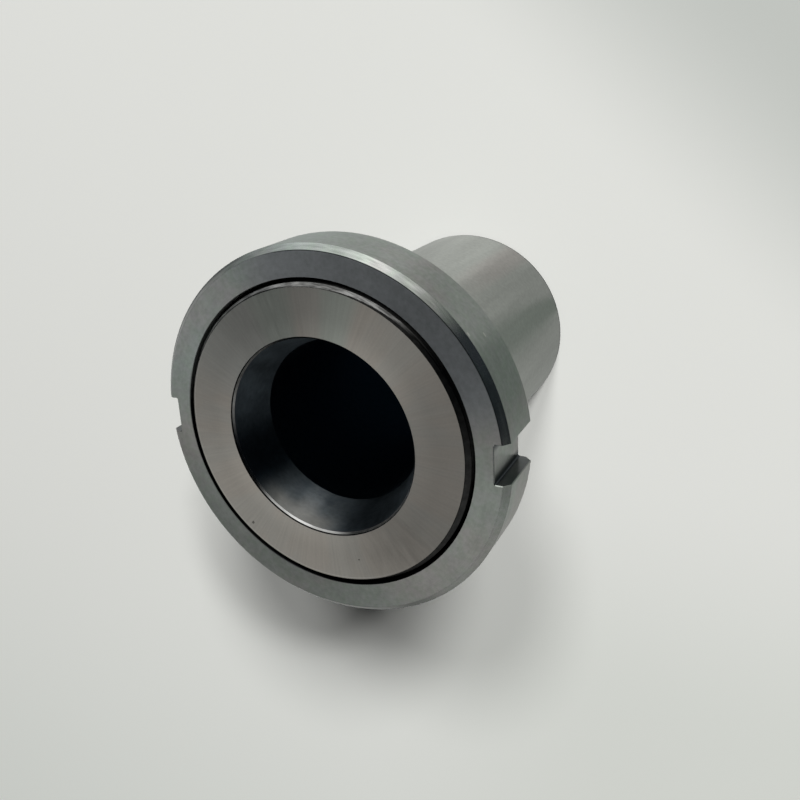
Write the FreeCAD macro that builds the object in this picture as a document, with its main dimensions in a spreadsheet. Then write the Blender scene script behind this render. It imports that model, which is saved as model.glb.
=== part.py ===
import FreeCAD, Part
import os
import Sketcher

# Reducing sleeve with its ring nut. The sleeve stands on the end of its tube, with the marked face up.
# The frame's origin is the centre of the tube's end, +Z runs up the bore to the marked face, and the
# nut's two slots lie on the X axis.

# Millimetres, apart from the angle in degrees and the count.
DRIVING_SIZES = {
    # Sleeve: a tube with a threaded head at its top end, and an undercut between the two
    "overall_length": 97.5,
    "tube_diameter": 60.0,
    "tube_end_chamfer": 0.6,
    "head_length": 19.0,
    "head_front_chamfer": 1.1,
    "head_rear_chamfer": 1.0,
    "undercut_width": 3.0,
    "undercut_depth": 0.4,
    # Collet seat: a bore, a cone that opens upwards, a lip, and a narrow step at the face
    "bore_diameter": 42.0,
    "bore_end_chamfer": 1.0,
    "mouth_diameter": 49.8,
    "mouth_step_width": 0.12,
    "mouth_step_depth": 0.3,
    "mouth_lip": 0.45,
    "seat_half_angle": 17.0,
    # Ring nut: screwed on the head, with its front face a little behind the sleeve's. The head's
    # thread is as large as the nut's wall leaves it.
    "ring_diameter": 92.0,
    "ring_wall": 8.5,
    "ring_width": 16.0,
    "ring_setback": 0.95,
    "ring_front_chamfer": 1.45,
    "ring_rear_chamfer": 1.45,
    "ring_mouth_chamfer": 0.1,
    "ring_thread_chamfer": 0.8,
    "thread_clearance": 0.05,
    "relief_clearance": 0.85,
    "relief_depth": 2.5,
    # Slots for a hook spanner, across the whole width of the ring nut
    "slot_count": 2,
    "slot_width": 9.2,
    "slot_depth": 3.5,
    "slot_corner_radius": 0.4,
    "slot_edge_break": 0.2,
}

# What follows from the driving sizes. Heights are above the tube's end.
DERIVED_SIZES = {
    "tube_radius": "tube_diameter / 2",
    "ring_radius": "ring_diameter / 2",
    "head_radius": "ring_radius - ring_wall",
    "shoulder_height": "overall_length - head_length",
    "undercut_radius": "tube_radius - undercut_depth",
    "undercut_start": "shoulder_height - undercut_width",
    "bore_radius": "bore_diameter / 2",
    "mouth_radius": "mouth_diameter / 2",
    "lip_radius": "mouth_radius - mouth_step_width",
    "lip_height": "overall_length - mouth_step_depth",
    "seat_radius": "lip_radius - mouth_lip",
    "seat_height": "lip_height - mouth_lip",
    "seat_length": "(seat_radius - bore_radius) / tan(seat_half_angle * 1deg)",
    "ring_face_height": "overall_length - ring_setback",
    "ring_rear_height": "ring_face_height - ring_width",
    "ring_bore_radius": "head_radius + thread_clearance",
    "relief_radius": "head_radius + relief_clearance",
    "relief_end_height": "ring_face_height - relief_depth",
    "slot_floor_radius": "ring_radius - slot_depth",
    "slot_half_width": "slot_width / 2",
}

# How near a point has to lie to a surface to count as on it.
ON_SURFACE = 0.001

doc = FreeCAD.newDocument("reducing_sleeve")
sizes = doc.addObject("Spreadsheet::Sheet", "Sizes")


def fill_sheet():
    """Writes the driving sizes as plain numbers and the derived ones as formulas on them."""
    for row, (alias, value) in enumerate({**DRIVING_SIZES, **DERIVED_SIZES}.items(), start=1):
        sizes.set(f"A{row}", alias)
        sizes.set(f"B{row}", "=" + value if isinstance(value, str) else str(value))
        sizes.setAlias(f"B{row}", alias)
    doc.recompute()


def size(expression):
    """The value of an expression of sizes, such as "Sizes.ring_width / 2"."""
    return float(doc.Sizes.evalExpression(expression))


def new_body(label):
    body = doc.addObject("PartDesign::Body", label)
    body.Label = label
    body.Placement = FreeCAD.Placement()
    return body


def outline(body, name, plane_role, corners):
    """A closed outline of straight lines, bound to the sheet. Each corner is a pair of expressions."""
    sketch = body.newObject("Sketcher::SketchObject", name)
    plane = next(item for item in body.Origin.OriginFeatures if item.Role == plane_role)
    sketch.AttachmentSupport = (plane, [""])
    sketch.MapMode = "FlatFace"
    places = [FreeCAD.Vector(size(across), size(up), 0) for across, up in corners]
    following = [(index + 1) % len(corners) for index in range(len(corners))]
    for index, place in enumerate(places):
        sketch.addGeometry(Part.LineSegment(place, places[following[index]]))
    for index in range(len(corners)):
        sketch.addConstraint(Sketcher.Constraint("Coincident", index, 2, following[index], 1))
    for index, corner in enumerate(corners):
        for direction, expression in zip(("DistanceX", "DistanceY"), corner):
            if expression == "0":
                sketch.addConstraint(Sketcher.Constraint("PointOnObject", index, 1, -1))
                continue
            distance = Sketcher.Constraint(direction, -1, 1, index, 1, size(expression))
            number = sketch.addConstraint(distance)
            sketch.setExpression(f"Constraints[{number}]", expression)
    return sketch


def revolved(body, name, section):
    """Turns a section about the vertical axis of its sketch."""
    turned = body.newObject("PartDesign::Revolution", name)
    turned.Profile = section
    turned.ReferenceAxis = (section, ["V_Axis"])
    turned.Angle = 360
    section.Visibility = False
    doc.recompute()
    return turned


def make_sleeve():
    """One turned piece: tube, undercut, threaded head, mouth, cone and bore."""
    body = new_body("sleeve")
    section = outline(
        body,
        "SleeveSection",
        "XZ_Plane",
        [
            ("Sizes.bore_radius + Sizes.bore_end_chamfer", "0"),
            ("Sizes.tube_radius - Sizes.tube_end_chamfer", "0"),
            ("Sizes.tube_radius", "Sizes.tube_end_chamfer"),
            ("Sizes.tube_radius", "Sizes.undercut_start"),
            ("Sizes.undercut_radius", "Sizes.undercut_start + Sizes.undercut_depth"),
            ("Sizes.undercut_radius", "Sizes.shoulder_height"),
            ("Sizes.head_radius - Sizes.head_rear_chamfer", "Sizes.shoulder_height"),
            ("Sizes.head_radius", "Sizes.shoulder_height + Sizes.head_rear_chamfer"),
            ("Sizes.head_radius", "Sizes.overall_length - Sizes.head_front_chamfer"),
            ("Sizes.head_radius - Sizes.head_front_chamfer", "Sizes.overall_length"),
            ("Sizes.mouth_radius", "Sizes.overall_length"),
            ("Sizes.lip_radius", "Sizes.lip_height"),
            ("Sizes.seat_radius", "Sizes.seat_height"),
            ("Sizes.bore_radius", "Sizes.seat_height - Sizes.seat_length"),
            ("Sizes.bore_radius", "Sizes.bore_end_chamfer"),
        ],
    )
    body.Tip = revolved(body, "SleeveTurned", section)
    return body


def slot_wall_edges(shape, nearest, farthest):
    """Names of the edges in the planes of the slots' walls that end between two distances in X."""
    half_width = size("Sizes.slot_half_width")
    names = []
    for number, edge in enumerate(shape.Edges, start=1):
        first, last = edge.ParameterRange
        points = [edge.valueAt(parameter) for parameter in (first, (first + last) / 2, last)]
        in_wall = all(abs(abs(point.y) - half_width) < ON_SURFACE for point in points)
        far_end = max(abs(point.x) for point in points)
        if in_wall and nearest - ON_SURFACE < far_end < farthest + ON_SURFACE:
            names.append(f"Edge{number}")
    return names


def make_ring_nut():
    """A turned ring with spanner slots milled through it from face to face."""
    body = new_body("ring_nut")
    section = outline(
        body,
        "RingSection",
        "XZ_Plane",
        [
            ("Sizes.ring_bore_radius + Sizes.ring_thread_chamfer", "Sizes.ring_rear_height"),
            ("Sizes.ring_radius - Sizes.ring_rear_chamfer", "Sizes.ring_rear_height"),
            ("Sizes.ring_radius", "Sizes.ring_rear_height + Sizes.ring_rear_chamfer"),
            ("Sizes.ring_radius", "Sizes.ring_face_height - Sizes.ring_front_chamfer"),
            ("Sizes.ring_radius - Sizes.ring_front_chamfer", "Sizes.ring_face_height"),
            ("Sizes.relief_radius + Sizes.ring_mouth_chamfer", "Sizes.ring_face_height"),
            ("Sizes.relief_radius", "Sizes.ring_face_height - Sizes.ring_mouth_chamfer"),
            ("Sizes.relief_radius", "Sizes.relief_end_height"),
            (
                "Sizes.ring_bore_radius",
                "Sizes.relief_end_height - Sizes.relief_radius + Sizes.ring_bore_radius",
            ),
            ("Sizes.ring_bore_radius", "Sizes.ring_rear_height + Sizes.ring_thread_chamfer"),
        ],
    )
    turned = revolved(body, "RingTurned", section)

    slot_outline = outline(
        body,
        "SlotOutline",
        "XY_Plane",
        [
            ("Sizes.slot_floor_radius", "-Sizes.slot_half_width"),
            ("Sizes.ring_radius + Sizes.slot_depth", "-Sizes.slot_half_width"),
            ("Sizes.ring_radius + Sizes.slot_depth", "Sizes.slot_half_width"),
            ("Sizes.slot_floor_radius", "Sizes.slot_half_width"),
        ],
    )
    slot = body.newObject("PartDesign::Pocket", "Slot")
    slot.Profile = slot_outline
    slot.Type = "ThroughAll"
    slot.Reversed = True
    slot_outline.Visibility = False
    doc.recompute()
    if slot.Shape.Volume >= turned.Shape.Volume:
        raise RuntimeError("the slot cuts nothing")

    slots = body.newObject("PartDesign::PolarPattern", "Slots")
    slots.Originals = [slot]
    slots.Axis = (slot_outline, ["N_Axis"])
    slots.Angle = 360
    slots.setExpression("Occurrences", "Sizes.slot_count")
    body.Tip = slots
    doc.recompute()

    floor = size("Sizes.slot_floor_radius")
    rounded = body.newObject("PartDesign::Fillet", "SlotCorners")
    rounded.Base = (slots, slot_wall_edges(slots.Shape, floor, floor))
    rounded.setExpression("Radius", "Sizes.slot_corner_radius")
    doc.recompute()

    above_corner = floor + size("Sizes.slot_corner_radius + Sizes.slot_edge_break")
    broken = body.newObject("PartDesign::Chamfer", "SlotEdges")
    broken.Base = (rounded, slot_wall_edges(rounded.Shape, above_corner, size("Sizes.ring_radius")))
    broken.setExpression("Size", "Sizes.slot_edge_break")
    body.Tip = broken
    doc.recompute()
    return body


def check_objects():
    for item in doc.Objects:
        if "Invalid" in item.State or "Error" in item.State:
            raise RuntimeError(f"{item.Name} failed: {item.State}")


def write_parts(bodies):
    os.makedirs("parts", exist_ok=True)
    for body in bodies:
        shape = body.Shape
        if shape.isNull() or not shape.isValid():
            raise RuntimeError(f"{body.Label} has no valid shape")
        shape.exportStep(f"parts/{body.Label}.step")
        print(f"{body.Label}: {len(shape.Solids)} solid, {shape.Volume:.1f} mm3")


fill_sheet()
parts = [make_sleeve(), make_ring_nut()]
doc.recompute()
check_objects()
write_parts(parts)
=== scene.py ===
import math

import bpy
from mathutils import Matrix, Vector


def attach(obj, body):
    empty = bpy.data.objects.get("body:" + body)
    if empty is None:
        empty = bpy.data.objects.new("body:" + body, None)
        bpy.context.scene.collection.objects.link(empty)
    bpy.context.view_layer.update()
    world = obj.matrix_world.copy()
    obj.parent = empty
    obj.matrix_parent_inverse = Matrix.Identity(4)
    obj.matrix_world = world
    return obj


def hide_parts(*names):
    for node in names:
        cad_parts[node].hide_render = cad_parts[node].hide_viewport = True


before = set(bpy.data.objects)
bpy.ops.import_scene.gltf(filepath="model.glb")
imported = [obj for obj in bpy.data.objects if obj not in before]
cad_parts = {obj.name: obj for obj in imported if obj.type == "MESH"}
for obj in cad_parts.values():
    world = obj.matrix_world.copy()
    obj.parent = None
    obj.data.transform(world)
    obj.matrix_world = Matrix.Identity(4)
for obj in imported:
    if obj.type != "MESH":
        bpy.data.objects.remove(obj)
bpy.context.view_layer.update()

# The sizes in millimetres, as in the solids, but with the lip and the step in the mouth a little deeper.
# Heights are above the tube's end, on which the sleeve stands.
MM = 0.001
TOP = 97.5
TUBE_R = 30.0
TUBE_CHAMFER = 0.6
UNDERCUT_R = 29.6
UNDERCUT_FROM = 75.5
SHOULDER = 78.5
HEAD_R = 37.5
HEAD_FRONT_CHAMFER = 1.1
HEAD_REAR_CHAMFER = 1.0
MOUTH_R = 24.9
LIP_R = 24.75
LIP_Z = 97.1
SEAT_R = 24.33
SEAT_Z = 96.68
BORE_R = 21.0
BORE_CHAMFER = 1.0
SEAT_HALF_ANGLE = 17
SEAT_END = SEAT_Z - (SEAT_R - BORE_R) / math.tan(math.radians(SEAT_HALF_ANGLE))
FACE_R = HEAD_R - HEAD_FRONT_CHAMFER
RING_R = 46.0
RING_FACE = 96.55
RING_CHAMFER = 1.45
RING_FACE_R = RING_R - RING_CHAMFER
RING_CHAMFER_FROM = RING_FACE - RING_CHAMFER
RELIEF_R = 38.35
SLOT_HALF_WIDTH = 4.6
SLOT_FLOOR = 42.5
PITCH = 2.0
CREST_WIDTH = PITCH / 8
THREAD_DEPTH = 1.2
# One point of the thread's crest: its height, and its direction from the axis in degrees.
CREST_HEIGHT = 96.65
CREST_DIRECTION = 80.0
# The head is in view above this height, so its mesh is finer there.
HEAD_IN_VIEW = 95.0
COARSE_STEP = 0.125
FINE_STEP = 0.05
# Points round the axis, and steps round each corner of the outline.
AROUND = 288
ROUNDING_STEPS = 4
# Two rings of points nearer than this stand at a sharp corner and have no faces between them.
SAME_PLACE = 1e-6
# How far to either side the head's slope is measured, up it and round it in radians.
NEARBY = 0.02
TURN_NEARBY = 0.001

# The stage, in metres.
FLOOR_HALF_WIDTH = 1.6
LAMP_DISTANCE = 6.0
LAMPS_AIM_AT = Vector((0.0, 0.0, 0.05))
LAMP_COLOUR = (1.0, 1.0, 0.98)
# For each lamp its azimuth and height in degrees, its width in metres and its power in watts.
LAMPS = {
    "key": (60, 36, 1.26, 257.0),
    "left": (80, 42, 1.26, 154.0),
    "right": (50, 36, 0.52, 117.0),
}

# The fitted camera, in millimetres of lens and sensor, shares of the picture's width, and metres.
LENS = 37.54
SENSOR = 36.0
SHIFT = (0.0979, -0.0663)
CAMERA_AT = (0.097757, 0.07746, 0.248604)
CAMERA_RIGHT = (0.858204, -0.081447, -0.506806)
CAMERA_UP = (-0.082507, 0.952606, -0.292804)

# How far bumps stand out, in metres, and Anisotropic Rotation for grooves round the axis or away from it.
BUMP_DISTANCE = 0.00005
GROOVES_ROUND = 0.25
GROOVES_OUTWARD = 0.0

# Noise lies between these two nearly everywhere.
NOISE_LOW = 0.3
NOISE_HIGH = 0.7

# Tones of painted shade, of dark lines and of scuffs.
CHAMFER_LINE_TONE = (0.04, 0.05, 0.055)
# Painted shade in the gap.
GAP_SHADE = (0.03, 0.03, 0.035)
# Painted shade in the slots.
SLOT_SHADE = (0.03, 0.04, 0.055)
SCUFFED = (0.95, 0.95, 0.9)

# The empty scene's own objects go.
for name in ("Camera", "Cube", "Light"):
    if name in bpy.data.objects:
        bpy.data.objects.remove(bpy.data.objects[name])


# Shader nodes

def node(tree, kind, inputs=(), **settings):
    """Adds a node. inputs maps a socket's name or number to a value, or to the socket that feeds it."""
    added = tree.nodes.new(kind)
    for key, value in settings.items():
        setattr(added, key, value)
    for key, value in dict(inputs).items():
        if isinstance(value, bpy.types.NodeSocket):
            tree.links.new(value, added.inputs[key])
        else:
            added.inputs[key].default_value = value
    return added


def empty_tree(owner):
    """The node tree of a material or a world, with nothing in it."""
    owner.use_nodes = True
    owner.node_tree.nodes.clear()
    return owner.node_tree


def calc(tree, operation, *values):
    return node(tree, "ShaderNodeMath", dict(enumerate(values)), operation=operation).outputs[0]


def fold(tree, operation, values):
    """Two or more values taken together by one operation."""
    total = values[0]
    for value in values[1:]:
        total = calc(tree, operation, total, value)
    return total


def plus(tree, *values):
    return fold(tree, "ADD", values)


def times(tree, *values):
    return fold(tree, "MULTIPLY", values)


def highest(tree, *values):
    return fold(tree, "MAXIMUM", values)


def scaled(tree, value, factor, offset):
    """A value times a factor, plus an offset."""
    return calc(tree, "MULTIPLY_ADD", value, factor, offset)


def ramp(tree, value, low, high, to_low=0.0, to_high=1.0, smooth=True):
    """Takes a value from low to high over to to_low to to_high, and keeps it there beyond."""
    kind = "SMOOTHSTEP" if smooth else "LINEAR"
    ports = {"Value": value, "From Min": low, "From Max": high, "To Min": to_low, "To Max": to_high}
    return node(tree, "ShaderNodeMapRange", ports, interpolation_type=kind).outputs[0]


def falling(tree, value, low, high):
    """1 up to low and 0 from high."""
    return ramp(tree, value, low, high, 1.0, 0.0)


def graded(tree, value, to_low, to_high, low=NOISE_LOW, high=NOISE_HIGH):
    """Noise spread evenly from to_low to to_high."""
    return ramp(tree, value, low, high, to_low, to_high, smooth=False)


def band(tree, value, low, high, soft):
    """1 between low and high, fading out over soft on both sides."""
    rise = ramp(tree, value, low - soft, low + soft)
    fall = falling(tree, value, high - soft, high + soft)
    return times(tree, rise, fall)


def mix(tree, factor, first, second, blend="MIX"):
    """Goes from the first colour to the second, or blends the second into the first, by a factor."""
    mixed = node(tree, "ShaderNodeMix", data_type="RGBA", blend_type=blend)
    for socket, value in (("Factor_Float", factor), ("A_Color", first), ("B_Color", second)):
        port = next(item for item in mixed.inputs if item.identifier == socket)
        if isinstance(value, bpy.types.NodeSocket):
            tree.links.new(value, port)
        elif socket == "Factor_Float":
            port.default_value = value
        else:
            port.default_value = (*value, 1.0)
    return next(item for item in mixed.outputs if item.identifier == "Result_Color")


def tinted(tree, colour, tint):
    """A colour multiplied by another."""
    return mix(tree, 1.0, colour, tint, "MULTIPLY")


def noise(tree, point, scale, detail=3.0, rough=0.5):
    ports = {"Vector": point, "Scale": scale, "Detail": detail, "Roughness": rough}
    return node(tree, "ShaderNodeTexNoise", ports).outputs[0]


def joined(tree, x, y, z):
    return node(tree, "ShaderNodeCombineXYZ", {0: x, 1: y, 2: z}).outputs[0]


class Place:
    """A point of the surface: its place in millimetres, radius, direction from the axis, and normal."""

    def __init__(self, tree):
        texture = node(tree, "ShaderNodeTexCoord")
        ports = {0: texture.outputs["Object"], 3: 1 / MM}
        self.point = node(tree, "ShaderNodeVectorMath", ports, operation="SCALE").outputs[0]
        parts = node(tree, "ShaderNodeSeparateXYZ", {0: self.point})
        self.x, self.y, self.z = parts.outputs
        self.r = calc(tree, "SQRT", scaled(tree, self.y, self.y, times(tree, self.x, self.x)))
        off_axis = calc(tree, "MAXIMUM", self.r, 0.01)
        self.cos = calc(tree, "DIVIDE", self.x, off_axis)
        self.sin = calc(tree, "DIVIDE", self.y, off_axis)
        normal = node(tree, "ShaderNodeSeparateXYZ", {0: texture.outputs["Normal"]})
        _, self.ny, self.nz = normal.outputs
        self.tree = tree

    def sector(self, degrees, half_width, soft):
        """1 within half_width degrees of a direction from the axis, fading out over soft degrees."""
        turn = math.radians(degrees)
        along = times(self.tree, self.cos, math.cos(turn))
        along = scaled(self.tree, self.sin, math.sin(turn), along)
        outside = math.cos(math.radians(half_width + soft))
        inside = math.cos(math.radians(max(half_width - soft, 0.0)))
        return ramp(self.tree, along, outside, inside)

    def mark(self, degrees, inner, outer, half_width):
        """1 on a short radial stroke."""
        sector = self.sector(degrees, half_width, half_width * 0.6)
        return times(self.tree, sector, band(self.tree, self.r, inner, outer, 0.1))

    def streaks(self, around, outward, along, scale=1.0, detail=3.0):
        """Noise with its own scale round the axis, away from it and along it."""
        across = times(self.tree, self.cos, around)
        over = times(self.tree, self.sin, around)
        up = scaled(self.tree, self.z, along, times(self.tree, self.r, outward))
        return noise(self.tree, joined(self.tree, across, over, up), scale, detail)


def fan(place, apex, degrees, half_width, soft):
    """1 on the floor within half_width degrees of a direction from apex, fading out over soft degrees."""
    tree = place.tree
    turn = math.radians(degrees)
    across = calc(tree, "SUBTRACT", place.x, apex[0])
    up = calc(tree, "SUBTRACT", place.y, apex[1])
    ahead = scaled(tree, up, math.sin(turn), times(tree, across, math.cos(turn)))
    aside = scaled(tree, up, math.cos(turn), times(tree, across, -math.sin(turn)))
    angle = calc(tree, "ABSOLUTE", calc(tree, "ARCTAN2", aside, ahead))
    return falling(tree, angle, math.radians(half_width - soft), math.radians(half_width + soft))


def steel(name, colour_of, roughness_of, bump_of=None, bump=0.0, anisotropic=0.0, turn=GROOVES_ROUND):
    """Bare metal whose colour, roughness and bump come from three functions of the place."""
    material = bpy.data.materials.new(name)
    tree = empty_tree(material)
    place = Place(tree)
    shader = node(tree, "ShaderNodeBsdfPrincipled", {
        "Metallic": 1.0,
        "Base Color": colour_of(tree, place),
        "Roughness": roughness_of(tree, place),
        "Anisotropic": anisotropic,
        "Anisotropic Rotation": turn,
    })
    if anisotropic:
        tangent = node(tree, "ShaderNodeTangent", direction_type="RADIAL", axis="Z")
        tree.links.new(tangent.outputs[0], shader.inputs["Tangent"])
    if bump_of:
        ports = {"Height": bump_of(tree, place), "Strength": bump, "Distance": BUMP_DISTANCE}
        raised = node(tree, "ShaderNodeBump", ports)
        tree.links.new(raised.outputs[0], shader.inputs["Normal"])
    output = node(tree, "ShaderNodeOutputMaterial")
    tree.links.new(shader.outputs[0], output.inputs[0])
    return material


def grey(tree, value, tint=(1.0, 1.0, 1.0)):
    """A colour of one lightness, with a plain tint."""
    ports = {number: times(tree, value, part) for number, part in enumerate(tint)}
    return node(tree, "ShaderNodeCombineColor", ports).outputs[0]


# Materials

def face_tint(tree, place):
    """Warm in clouds, and cooler in three sectors."""
    clouds = ramp(tree, place.streaks(1.5, 0.02, 0.0, 2.0, 2.0), 0.42, 0.58)
    warm = mix(tree, clouds, (1.06, 0.99, 0.92), (1.04, 1.0, 0.945))
    tint = mix(tree, place.sector(133, 20, 10), warm, (1.0, 1.0, 0.965))
    cool = highest(tree, place.sector(76, 6, 4), place.sector(107, 8, 5))
    return mix(tree, cool, tint, (0.97, 1.02, 0.955))


def face_colour(tree, place):
    """Steel with a radial grain, brighter by the mouth, with a painted glint, a dark rim on one side and
    two small ticks.
    """
    hair = graded(tree, place.streaks(64.0, 0.06, 0.0, 1.0, 2.0), -0.024, 0.024)
    by_mouth = ramp(tree, place.r, MOUTH_R + 0.1, MOUTH_R + 6.1, 0.085, 0.0)
    fine = graded(tree, noise(tree, place.point, 1.6, 2.0), -0.012, 0.012)
    colour = grey(tree, plus(tree, 0.545, hair, by_mouth, fine))
    colour = tinted(tree, colour, face_tint(tree, place))
    # Painted glint: a light line just inside the face's edge, on one side.
    glint = times(tree, band(tree, place.r, FACE_R - 0.48, FACE_R - 0.2, 0.1), place.sector(-133, 72, 14))
    colour = mix(tree, times(tree, glint, 0.35), colour, (0.85, 0.85, 0.81))
    rim = times(tree, ramp(tree, place.r, FACE_R - 0.2, FACE_R - 0.05), place.sector(-150, 42, 12))
    ticks = highest(tree, place.mark(-129.4, 33.8, 34.6, 0.45), place.mark(-73.8, 31.1, 31.4, 0.4))
    return mix(tree, times(tree, highest(tree, rim, ticks), 0.75), colour, (0.08, 0.08, 0.075))


def face_rough(tree, place):
    return graded(tree, place.streaks(30.0, 0.2, 0.0), 0.33, 0.4)


def face_height(tree, place):
    return place.streaks(60.0, 0.3, 0.0, 1.0, 2.0)


def plain_colour(value, tint=(1.0, 1.0, 1.0), spread=0.02):
    """Makes a colour function: one tone with fine noise."""
    def colour(tree, place):
        fine = graded(tree, noise(tree, place.point, 0.8, 3.0), -spread, spread)
        return grey(tree, plus(tree, value, fine), tint)
    return colour


def plain_rough(low, high):
    """Makes a roughness function: grooves round the axis between two values."""
    def rough(tree, place):
        return graded(tree, place.streaks(2.0, 6.0, 6.0), low, high)
    return rough


def turned_height(tree, place):
    return place.streaks(1.5, 9.0, 9.0, 1.0, 2.0)


def chamfer_colour(tree, place):
    """Scratched steel where the thread's first crest meets the chamfer, lighter on its outer part in one
    more sector, elsewhere a painted dark reflection, near black, and a nick.
    """
    scratches = graded(tree, place.streaks(12.0, 1.6, -1.6, 1.0, 4.0), 0.13, 0.34, 0.4, 0.62)
    lighter_part = times(tree, place.sector(122, 28, 6), ramp(tree, place.r, FACE_R + 0.2, FACE_R + 0.32))
    scratches = times(tree, scratches, scaled(tree, lighter_part, 1.3, 1.0))
    # Outside these two sectors the chamfer is painted near black: a painted dark reflection.
    bright = highest(tree, place.sector(76, 25, 6), lighter_part)
    painted_black = scaled(tree, band(tree, place.r, HEAD_R - 0.2, HEAD_R - 0.05, 0.08), 0.07, 0.02)
    colour = mix(tree, bright, grey(tree, painted_black), grey(tree, scratches))
    nick = place.mark(163.4, FACE_R + 0.1, FACE_R + 0.5, 0.35)
    return mix(tree, nick, colour, (0.8, 0.8, 0.76))


def lip_colour(tree, place):
    """Painted reflections: light in one sector, less light in another, and darker elsewhere."""
    # Painted reflection: how much lighter each sector is.
    painted_sheen = highest(tree, place.sector(-108, 28, 8), times(tree, place.sector(176, 14, 8), 0.4))
    fine = graded(tree, place.streaks(20.0, 2.0, 2.0), -0.06, 0.06)
    return grey(tree, plus(tree, scaled(tree, painted_sheen, 0.52, 0.14), fine))


def seat_colour(tree, place):
    """A painted reflection of the window in one sector, strongest near the top and dimmed lower down but
    for a narrow strip, and painted shade on the opposite side.
    """
    clouds = ramp(tree, noise(tree, place.point, 0.16, 4.0, 0.6), 0.35, 0.65, -0.05, 0.05)
    fine = graded(tree, place.streaks(16.0, 1.0, 1.0), -0.05, 0.05)
    # The painted reflection of the window, stronger towards the top.
    painted_reflection = times(tree, place.sector(-113, 24, 12), ramp(tree, place.z, 86.5, 95.5, 0.3, 0.95))
    beside = calc(tree, "SUBTRACT", 1.0, place.sector(-110, 4, 6))
    # Where the painted reflection is dimmed: lower down, beside a narrow strip.
    dimmed_lower = times(tree, ramp(tree, place.z, 91.0, 95.0, 0.5, 0.0), beside)
    painted_reflection = times(tree, painted_reflection, calc(tree, "SUBTRACT", 1.0, dimmed_lower))
    # Painted shade on the opposite side of the seat.
    painted_far_shade = times(tree, place.sector(-20, 45, 12), -0.07)
    mottle = times(tree, plus(tree, clouds, fine), ramp(tree, painted_reflection, 0.0, 0.5, 0.5, 1.0))
    colour = grey(tree, plus(tree, scaled(tree, painted_reflection, 0.55, 0.17), painted_far_shade, mottle))
    return tinted(tree, colour, mix(tree, painted_reflection, (0.8, 0.98, 1.15), (1.01, 1.0, 0.96)))


def seat_rough(tree, place):
    return graded(tree, noise(tree, place.point, 0.2, 3.0), 0.31, 0.36)


def tube_colour(tree, place):
    """Ground steel with faint stripes along it, a warmer one among them, and painted shade in a dark line
    at its end.
    """
    fine = graded(tree, noise(tree, place.point, 1.0, 3.0), -0.04, 0.04)
    stripes = graded(tree, place.streaks(8.0, 0.0, 0.02, 1.0, 3.0), -0.03, 0.035, 0.35, 0.65)
    warm = times(tree, place.sector(56, 5, 5), falling(tree, place.z, 20.0, 60.0))
    tint = mix(tree, warm, (0.97, 1.01, 0.96), (1.03, 0.99, 0.95))
    colour = tinted(tree, grey(tree, plus(tree, 0.53, fine, stripes)), tint)
    # Painted shade: a dark line along the foot of the tube's side.
    end = ramp(tree, place.z, TUBE_CHAMFER + 0.35, TUBE_CHAMFER + 0.65, 0.8, 0.0)
    edge = times(tree, end, ramp(tree, place.r, TUBE_R - 0.7, TUBE_R - 0.5))
    return mix(tree, edge, colour, (0.05, 0.055, 0.055))


def on_ring_chamfer(tree, place):
    """1 on the ring's front chamfer, which its slope tells."""
    return band(tree, place.nz, 0.5, 0.9, 0.05)


def ring_tone(tree, place):
    """How light the ring's face and outside are, with a painted highlight in one sector and painted shade
    in another.
    """
    fine = graded(tree, noise(tree, place.point, 1.0, 3.0), -0.045, 0.045)
    turned = graded(tree, place.streaks(1.0, 5.0, 5.0, 1.0, 3.0), -0.015, 0.015)
    dulled = graded(tree, place.streaks(7.0, 0.3, 0.3, 1.0, 2.0), -0.02, 0.02, 0.35, 0.65)
    # Painted highlight: lighter in one sector, most towards the inside.
    light = times(tree, place.sector(-153, 26, 14), ramp(tree, place.r, 39.0, 44.0, 0.1, 0.02))
    # Painted shade: darker in one sector.
    dark = times(tree, place.sector(64, 16, 10), -0.05)
    return plus(tree, 0.5, fine, turned, dulled, light, dark)


def ring_chamfer_colour(tree, place, tone):
    """Scratched round the axis and plain in one sector, with painted shade in four sectors and a painted
    highlight in one.
    """
    scratched = graded(tree, place.streaks(11.0, 1.1, -1.1, 1.0, 4.0), 0.56, 0.8, 0.32, 0.68)
    # Painted shade on the scratches in two sectors.
    left = times(tree, place.sector(178, 68, 9), 0.6)
    bottom = times(tree, place.sector(-95, 24, 8), 0.72)
    unshaded = calc(tree, "SUBTRACT", 1.0, highest(tree, left, bottom))
    # The scratches with that painted shade, and a painted highlight in a narrow sector.
    scratched = times(tree, scratched, unshaded, scaled(tree, place.sector(33, 7, 4), 0.5, 1.0))
    # Painted shade over a wide sector of the plain part.
    plain = times(tree, plus(tree, tone, 0.05), scaled(tree, place.sector(-125, 76, 26), -0.74, 1.0))
    colour = mix(tree, place.sector(-40, 34, 6), grey(tree, scratched), grey(tree, plain))
    # Painted shade in one more sector, by the plain one.
    return tinted(tree, colour, grey(tree, scaled(tree, place.sector(-86, 24, 14), -0.6, 1.0)))


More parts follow.
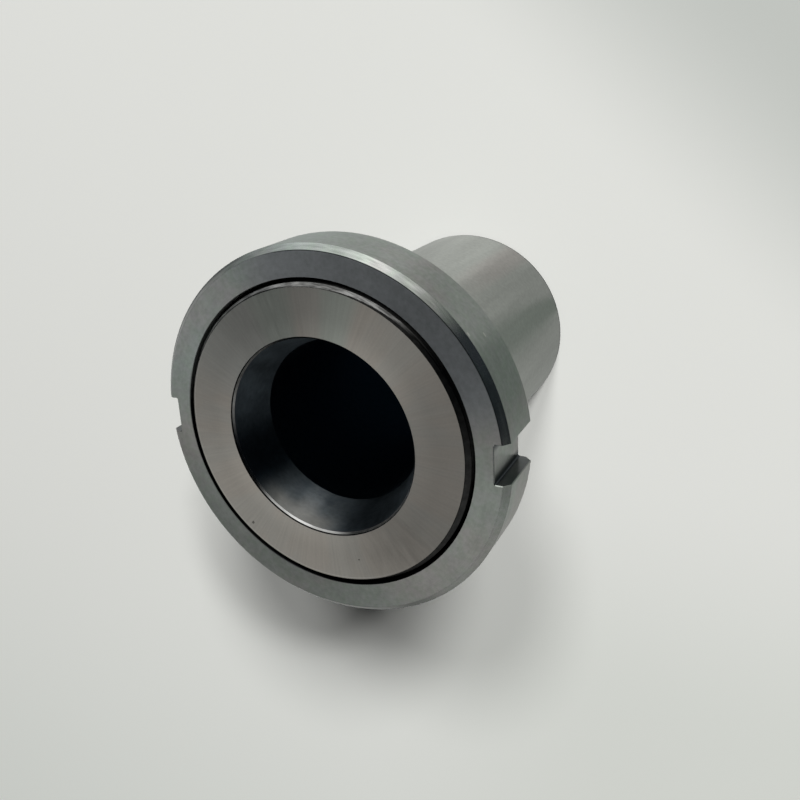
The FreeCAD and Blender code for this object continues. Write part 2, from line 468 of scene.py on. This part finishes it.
def ring_tint(tree, place):
    """Slight changes of hue in clouds and specks, and painted reflection tints in two sectors: cooler, and
    blue on the face.
    """
    clouds = ramp(tree, noise(tree, place.point, 0.05, 2.0), 0.42, 0.6)
    tint = mix(tree, clouds, (0.95, 1.02, 0.97), (1.005, 1.0, 0.975))
    specks = ramp(tree, noise(tree, place.point, 0.5, 2.0), 0.4, 0.6)
    tint = tinted(tree, tint, mix(tree, specks, (0.985, 1.01, 0.985), (1.01, 0.995, 1.015)))
    # Painted reflection tints: cooler in one sector, and blue on the face in another.
    cool = mix(tree, place.sector(128, 40, 14), (1.0, 1.0, 1.0), (0.98, 1.012, 1.035))
    blue = times(tree, place.sector(62, 48, 9), ramp(tree, place.nz, 0.93, 0.98))
    return mix(tree, blue, tinted(tree, tint, cool), (0.95, 1.0, 1.06))


def chamfer_dark_lines(tree, place):
    """Dark lines along both edges of the front chamfer."""
    inner = band(tree, place.r, RING_FACE_R - 0.13, RING_FACE_R + 0.07, 0.04)
    on_face = ramp(tree, place.z, RING_FACE - 0.25, RING_FACE - 0.15)
    inner = times(tree, inner, on_face, scaled(tree, place.sector(52, 50, 8), 0.8, 0.12))
    rim = band(tree, place.z, RING_CHAMFER_FROM - 0.12, RING_CHAMFER_FROM + 0.04, 0.04)
    rim = times(tree, rim, ramp(tree, place.r, RING_R - 0.4, RING_R - 0.2), 0.3)
    outer = times(tree, ramp(tree, place.r, RING_R - 0.65, RING_R - 0.4), place.sector(172, 55, 8))
    above = ramp(tree, place.z, RING_CHAMFER_FROM - 0.5, RING_CHAMFER_FROM - 0.1)
    return highest(tree, inner, times(tree, outer, above, 0.75), rim)


def slot_shade(tree, place):
    """Painted shade in the spanner slots: on their walls, and on their floors towards the walls."""
    across = calc(tree, "ABSOLUTE", place.y)
    inside = times(
        tree,
        falling(tree, across, SLOT_HALF_WIDTH + 0.1, SLOT_HALF_WIDTH + 0.3),
        falling(tree, place.r, RING_R - 0.15, RING_R - 0.03),
        falling(tree, place.nz, 0.3, 0.5),
    )
    low = falling(tree, calc(tree, "ABSOLUTE", place.x), SLOT_FLOOR + 0.4, SLOT_FLOOR + 0.7)
    # Painted shade in the corners where floor meets wall.
    corner = times(tree, ramp(tree, across, SLOT_HALF_WIDTH - 2.2, SLOT_HALF_WIDTH - 0.4), low, 0.9)
    # Painted shade on the walls.
    wall = times(tree, ramp(tree, calc(tree, "ABSOLUTE", place.ny), 0.6, 0.9), 0.66)
    return times(tree, inside, highest(tree, corner, wall))


def ring_scuffs(tree, place):
    """Two short bright scuffs on the outside."""
    upper = times(tree, place.sector(36.7, 0.5, 0.3), band(tree, place.z, 94.0, 94.6, 0.15))
    lower = times(tree, place.sector(34.1, 0.6, 0.3), band(tree, place.z, 88.1, 88.6, 0.2))
    outside = ramp(tree, place.r, RING_R - 0.3, RING_R - 0.1, 0.0, 0.6)
    return times(tree, highest(tree, upper, lower), outside)


def gap_shade(tree, place):
    """Painted shade in the gap between the ring and the sleeve, and beside it on the ring's face."""
    # Painted shade on the ring's mouth, less in one sector.
    mouth = falling(tree, place.r, RELIEF_R + 0.15, RELIEF_R + 0.25)
    mouth = times(tree, mouth, falling(tree, place.nz, 0.85, 0.95))
    mouth = times(tree, mouth, scaled(tree, place.sector(137, 32, 8), -0.8, 1.0))
    # Painted shade beside the gap on one side of the face.
    beside = ramp(tree, place.r, RELIEF_R + 0.05, RELIEF_R + 0.45, 0.75, 0.0)
    beside = times(tree, beside, place.sector(-148, 44, 14), ramp(tree, place.z, 95.0, 96.4))
    return highest(tree, mouth, beside)


def ring_colour(tree, place):
    """Fine turned steel with a bright chamfer, dark lines along the chamfer's edges, painted shade in the
    slots and by the gap, and scuffs over it.
    """
    tone = ring_tone(tree, place)
    chamfer = ring_chamfer_colour(tree, place, tone)
    colour = mix(tree, on_ring_chamfer(tree, place), grey(tree, tone), chamfer)
    colour = tinted(tree, colour, ring_tint(tree, place))
    # Dark lines along the chamfer's edges.
    colour = mix(tree, chamfer_dark_lines(tree, place), colour, CHAMFER_LINE_TONE)
    # Painted shade in the slots.
    colour = mix(tree, slot_shade(tree, place), colour, SLOT_SHADE)
    colour = mix(tree, ring_scuffs(tree, place), colour, SCUFFED)
    # Painted shade in and by the gap.
    return mix(tree, gap_shade(tree, place), colour, GAP_SHADE)


def ring_rough(tree, place):
    """Smoother on the chamfer than elsewhere."""
    plain = graded(tree, place.streaks(2.0, 6.0, 6.0), 0.31, 0.37)
    smooth = graded(tree, place.streaks(5.0, 1.0, -1.0), 0.19, 0.23)
    smoother = calc(tree, "SUBTRACT", smooth, plain)
    return plus(tree, plain, times(tree, on_ring_chamfer(tree, place), smoother))


FACE = steel("sleeve_face", face_colour, face_rough, face_height, 0.05, 0.9, GROOVES_OUTWARD)
CHAMFER = steel("sleeve_chamfer", chamfer_colour, plain_rough(0.22, 0.34), turned_height, 0.3)
LIP = steel("sleeve_lip", lip_colour, plain_rough(0.15, 0.21), turned_height, 0.15)
SEAT = steel("sleeve_seat", seat_colour, seat_rough, turned_height, 0.08, 1.0)
BORE = steel("sleeve_bore", plain_colour(0.25, (0.8, 1.0, 1.2)), plain_rough(0.3, 0.4), turned_height, 0.15)
TUBE = steel("sleeve_tube", tube_colour, plain_rough(0.28, 0.38), turned_height, 0.1, 0.4)
THREAD = steel("sleeve_thread", plain_colour(0.05, spread=0.015), plain_rough(0.3, 0.4), turned_height, 0.1)
EDGE = steel("sleeve_edge", plain_colour(0.3), plain_rough(0.3, 0.4))
STEP = steel("sleeve_step", plain_colour(0.01, spread=0.004), plain_rough(0.4, 0.5))
RING = steel("ring_nut_steel_fine", ring_colour, ring_rough, turned_height, 0.04, 0.9)
SLEEVE_MATERIALS = [FACE, CHAMFER, LIP, SEAT, BORE, TUBE, THREAD, STEP, EDGE]


# The sleeve's mesh

def rounded_outline(corners):
    """Points, normals and materials along a closed outline with rounded corners.

    A corner is its radius, its height, how far it is rounded, and the material of the stretch after it.
    """
    points = []
    count = len(corners)
    for index, (radius, height, rounding, material) in enumerate(corners):
        before = Vector(corners[index - 1][:2])
        here = Vector((radius, height))
        after = Vector(corners[(index + 1) % count][:2])
        coming = (here - before).normalized()
        going = (after - here).normalized()
        turn = math.atan2(coming.x * going.y - coming.y * going.x, coming.dot(going))
        reach = rounding * math.tan(abs(turn) / 2)
        for step in range(ROUNDING_STEPS + 1):
            share = step / ROUNDING_STEPS
            first = here - coming * reach * (1 - share)
            second = here + going * reach * share
            spot = first.lerp(second, share)
            angle = math.atan2(coming.y, coming.x) + turn * share
            normal = Vector((math.sin(angle), -math.cos(angle)))
            points.append((spot, normal, material if step == ROUNDING_STEPS else EDGE))
    return points


def sleeve_outline():
    return rounded_outline([
        (BORE_R + BORE_CHAMFER, 0.0, 0.08, TUBE),
        (TUBE_R - TUBE_CHAMFER, 0.0, 0.08, TUBE),
        (TUBE_R, TUBE_CHAMFER, 0.1, TUBE),
        (TUBE_R, UNDERCUT_FROM, 0.1, TUBE),
        (UNDERCUT_R, UNDERCUT_FROM + TUBE_R - UNDERCUT_R, 0.3, TUBE),
        (UNDERCUT_R, SHOULDER, 0.35, TUBE),
        (HEAD_R - HEAD_REAR_CHAMFER, SHOULDER, 0.0, THREAD),
        (HEAD_R - HEAD_FRONT_CHAMFER, TOP, 0.0, FACE),
        (MOUTH_R, TOP, 0.05, STEP),
        (LIP_R, LIP_Z, 0.05, LIP),
        (SEAT_R, SEAT_Z, 0.1, SEAT),
        (BORE_R, SEAT_END, 0.3, BORE),
        (BORE_R, BORE_CHAMFER, 0.1, BORE),
    ])


def head_radius(height, angle):
    """The head's radius: both chamfers, and the thread's grooves with their flanks 60 degrees apart."""
    rear = HEAD_R - HEAD_REAR_CHAMFER + height - SHOULDER
    front = HEAD_R - HEAD_FRONT_CHAMFER + TOP - height
    crest = CREST_HEIGHT + PITCH * (math.degrees(angle) - CREST_DIRECTION) / 360
    from_crest = abs((height - crest + PITCH / 2) % PITCH - PITCH / 2)
    depth = min(max((from_crest - CREST_WIDTH / 2) * math.sqrt(3), 0.0), THREAD_DEPTH)
    return min(rear, front, HEAD_R - depth)


def head_heights():
    """Heights of the rings of points on the head, closer together where the head is in view."""
    coarse = range(1, round((HEAD_IN_VIEW - SHOULDER) / COARSE_STEP))
    fine = range(round((TOP - HEAD_IN_VIEW) / FINE_STEP))
    heights = [SHOULDER + COARSE_STEP * step for step in coarse]
    return heights + [HEAD_IN_VIEW + FINE_STEP * step for step in fine]


def head_normal(height, angle):
    """The head's normal as outward, onward and upward parts."""
    rise = head_radius(height + NEARBY, angle) - head_radius(height - NEARBY, angle)
    growth = head_radius(height, angle + TURN_NEARBY) - head_radius(height, angle - TURN_NEARBY)
    upward = -rise / (2 * NEARBY)
    onward = -growth / (2 * TURN_NEARBY * head_radius(height, angle))
    return Vector((1.0, onward, upward)).normalized()


def head_point(height, angle):
    return head_radius(height, angle), height, head_normal(height, angle), angle


def sleeve_rings():
    """Rings of points up the outline and the head, each with the material of the stretch after it.

    A point is its radius, its height, its normal and its angle.
    """
    angles = [2 * math.pi * step / AROUND for step in range(AROUND)]
    rings = []
    for spot, normal, material in sleeve_outline():
        outward = Vector((normal.x, 0.0, normal.y))
        rings.append(([(spot.x, spot.y, outward, angle) for angle in angles], material))
        if material != THREAD:
            continue
        for height in head_heights():
            rings.append(([head_point(height, angle) for angle in angles], THREAD))
    return rings


def on_front_chamfer(radius, height):
    return height > TOP - HEAD_FRONT_CHAMFER and radius > FACE_R + TOP - height - NEARBY


def in_space(point):
    """A point of a ring as its place in metres and its normal."""
    radius, height, normal, angle = point
    c, s = math.cos(angle), math.sin(angle)
    place = (radius * c * MM, radius * s * MM, height * MM)
    return place, (normal.x * c - normal.y * s, normal.x * s + normal.y * c, normal.z)


def sleeve_faces(rings):
    """The faces between each ring and the next, and the number of each face's material."""
    faces = []
    kinds = []
    for index, (points, material) in enumerate(rings):
        following = (index + 1) % len(rings)
        across = Vector(points[0][:2]) - Vector(rings[following][0][0][:2])
        if across.length < SAME_PLACE:
            continue
        here = index * AROUND
        there = following * AROUND
        for step in range(AROUND):
            after = (step + 1) % AROUND
            faces.append((here + step, here + after, there + after, there + step))
            bevelled = material == THREAD and on_front_chamfer(*points[step][:2])
            kinds.append(SLEEVE_MATERIALS.index(CHAMFER if bevelled else material))
    return faces, kinds


def make_sleeve():
    """The outline turned about the axis, with the threaded head between its two chamfers."""
    rings = sleeve_rings()
    vertices, normals = zip(*(in_space(point) for points, _ in rings for point in points))
    faces, kinds = sleeve_faces(rings)
    mesh = bpy.data.meshes.new("sleeve_turned")
    mesh.from_pydata(vertices, [], faces)
    for material in SLEEVE_MATERIALS:
        mesh.materials.append(material)
    mesh.polygons.foreach_set("material_index", kinds)
    mesh.shade_smooth()
    mesh.normals_split_custom_set_from_vertices(normals)
    mesh.update()
    piece = bpy.data.objects.new("sleeve_turned", mesh)
    bpy.context.scene.collection.objects.link(piece)
    return piece


sleeve = make_sleeve()
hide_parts("sleeve")
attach(sleeve, "sleeve")

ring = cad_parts["ring_nut"]
for slot in ring.material_slots:
    slot.material = RING


# Floor

def floor_colour(tree, place):
    """A pale tone with soft clouds, with painted shade near the camera, more on the near right, and in the
    far corner.
    """
    soft = noise(tree, place.point, 0.003, 2.0)
    pale = mix(tree, soft, (0.765, 0.772, 0.752), (0.785, 0.792, 0.775))
    near = ramp(tree, place.y, -60.0, -330.0)
    pale = mix(tree, near, pale, (0.73, 0.752, 0.725))
    near_right = times(tree, ramp(tree, place.y, -40.0, -140.0), ramp(tree, place.x, -60.0, 60.0))
    pale = mix(tree, near_right, pale, (0.7, 0.72, 0.69))
    far_corner = ramp(tree, plus(tree, place.x, place.y), 90.0, 170.0)
    return mix(tree, far_corner, pale, (0.555, 0.575, 0.555))


def mirrored_floor_colour(tree, place):
    """What metal mirrors: bright to the left, dim to the right and behind, a painted shadow, and dark below
    the bore.
    """
    bright = mix(tree, ramp(tree, place.r, 50.0, 90.0), (0.66, 0.665, 0.64), (0.57, 0.575, 0.555))
    bright = mix(tree, ramp(tree, place.x, 0.0, -20.0), bright, (0.56, 0.565, 0.545))
    dim = mix(tree, ramp(tree, place.r, 38.0, 60.0), (0.37, 0.375, 0.36), (0.44, 0.445, 0.425))
    across = scaled(tree, place.y, -0.18, plus(tree, place.x, 5.4))
    colour = mix(tree, ramp(tree, across, 6.0, 27.0), bright, dim)
    shadow = fan(place, (25.0, 9.0), 5, 28, 12)
    colour = mix(tree, shadow, colour, (0.25, 0.272, 0.25))
    outside_bore = ramp(tree, place.r, 26.0, 31.0)
    return mix(tree, outside_bore, (0.003, 0.006, 0.009), colour)


def floor_material():
    """The pale colour, which shows the lamps' shadows, and a plain glow for metal to mirror."""
    material = bpy.data.materials.new("pale_floor")
    tree = empty_tree(material)
    place = Place(tree)
    seen = node(tree, "ShaderNodeBsdfDiffuse", {"Color": floor_colour(tree, place)})
    glow = {"Color": mirrored_floor_colour(tree, place), "Strength": 1.0}
    mirrored = node(tree, "ShaderNodeEmission", glow)
    paths = node(tree, "ShaderNodeLightPath")
    ports = {0: paths.outputs["Is Glossy Ray"], 1: seen.outputs[0], 2: mirrored.outputs[0]}
    both = node(tree, "ShaderNodeMixShader", ports)
    output = node(tree, "ShaderNodeOutputMaterial")
    tree.links.new(both.outputs[0], output.inputs[0])
    return material


def make_floor():
    mesh = bpy.data.meshes.new("floor")
    corners = [(-1, -1), (1, -1), (1, 1), (-1, 1)]
    vertices = [(x * FLOOR_HALF_WIDTH, y * FLOOR_HALF_WIDTH, 0) for x, y in corners]
    mesh.from_pydata(vertices, [], [(0, 1, 2, 3)])
    mesh.materials.append(floor_material())
    floor = bpy.data.objects.new("floor", mesh)
    bpy.context.scene.collection.objects.link(floor)


make_floor()


# World and lamps

def towards(azimuth, elevation):
    """The direction of a place on the sky, given in degrees round the axis and above the floor."""
    a, e = math.radians(azimuth), math.radians(elevation)
    return Vector((math.cos(a) * math.cos(e), math.sin(a) * math.cos(e), math.sin(e)))


def make_world():
    """A plain pale studio. Metal mirrors its dark ceiling, bright window with a light, and dark side."""
    world = bpy.data.worlds.new("studio")
    bpy.context.scene.world = world
    tree = empty_tree(world)
    texture = node(tree, "ShaderNodeTexCoord")
    direction = texture.outputs["Generated"]

    def along(azimuth, elevation):
        ports = {0: direction, 1: towards(azimuth, elevation)}
        return node(tree, "ShaderNodeVectorMath", ports, operation="DOT_PRODUCT").outputs["Value"]

    def lobe(azimuth, elevation, inner, outer):
        """1 within inner degrees of a place on the sky, and 0 beyond outer degrees."""
        low, high = math.cos(math.radians(outer)), math.cos(math.radians(inner))
        return ramp(tree, along(azimuth, elevation), low, high)

    x, y, height = node(tree, "ShaderNodeSeparateXYZ", {0: direction}).outputs
    turn = calc(tree, "DEGREES", calc(tree, "ARCTAN2", y, x))

    def between(rise_from, rise_to, fall_from, fall_to):
        """1 between two azimuths in degrees, with soft ends."""
        return times(tree, ramp(tree, turn, rise_from, rise_to), falling(tree, turn, fall_from, fall_to))

    colour = mix(tree, ramp(tree, height, 0.0, 0.8), (0.244, 0.247, 0.235), (0.482, 0.485, 0.465))
    wall = between(115, 135, 153, 171)
    colour = mix(tree, wall, colour, (0.175, 0.18, 0.18))
    dark_spot = lobe(-135, 48, 2.5, 7.8)
    colour = mix(tree, dark_spot, colour, (0.01, 0.01, 0.01))
    dark_ceiling = lobe(141.7, 75, 22, 39.3)
    colour = mix(tree, dark_ceiling, colour, (0.002, 0.005, 0.01))
    window = times(tree, between(57, 70, 121, 150), falling(tree, height, 0.714, 0.764))
    colour = mix(tree, window, colour, (0.648, 0.65, 0.63))
    light = lobe(93.7, 30.2, 12, 14.7)
    colour = mix(tree, light, colour, (1.16, 1.16, 1.13))
    dark_side = between(-57, -12.6, 35, 67.6)
    colour = mix(tree, dark_side, colour, (0.012, 0.015, 0.018))
    paths = node(tree, "ShaderNodeLightPath")
    colour = mix(tree, paths.outputs["Is Glossy Ray"], (0.02, 0.02, 0.02), colour)
    colour = mix(tree, paths.outputs["Is Camera Ray"], colour, (0.62, 0.625, 0.605))
    background = node(tree, "ShaderNodeBackground", {"Color": colour, "Strength": 1.0})
    output = node(tree, "ShaderNodeOutputWorld")
    tree.links.new(background.outputs[0], output.inputs[0])


make_world()


def area_lamp(name, azimuth, elevation, size, watts):
    """A round lamp for the floor. Metal mirrors the world alone, so no lamp shows in it."""
    back = towards(azimuth, elevation)
    data = bpy.data.lights.new(name, "AREA")
    data.shape = "DISK"
    data.size = size
    data.energy = watts
    data.color = LAMP_COLOUR
    lamp = bpy.data.objects.new(name, data)
    lamp.location = LAMPS_AIM_AT + back * LAMP_DISTANCE
    lamp.rotation_mode = "QUATERNION"
    lamp.rotation_quaternion = back.to_track_quat("Z", "Y")
    lamp.visible_glossy = False
    bpy.context.scene.collection.objects.link(lamp)


for name, settings in LAMPS.items():
    area_lamp(name, *settings)


# Camera

def make_camera():
    """The photograph's view: where the lens stands, and its right, up and back in the object's frame."""
    right = Vector(CAMERA_RIGHT)
    up = Vector(CAMERA_UP)
    back = right.cross(up).normalized()
    data = bpy.data.cameras.new("camera")
    data.sensor_width = SENSOR
    data.lens = LENS
    data.shift_x, data.shift_y = SHIFT
    data.clip_start = 0.01
    data.clip_end = 20.0
    camera = bpy.data.objects.new("camera", data)
    turned = Matrix((right, up, back)).transposed().to_4x4()
    camera.matrix_world = Matrix.Translation(CAMERA_AT) @ turned
    bpy.context.scene.collection.objects.link(camera)
    bpy.context.scene.camera = camera


make_camera()
bpy.context.scene.view_settings.view_transform = "Standard"
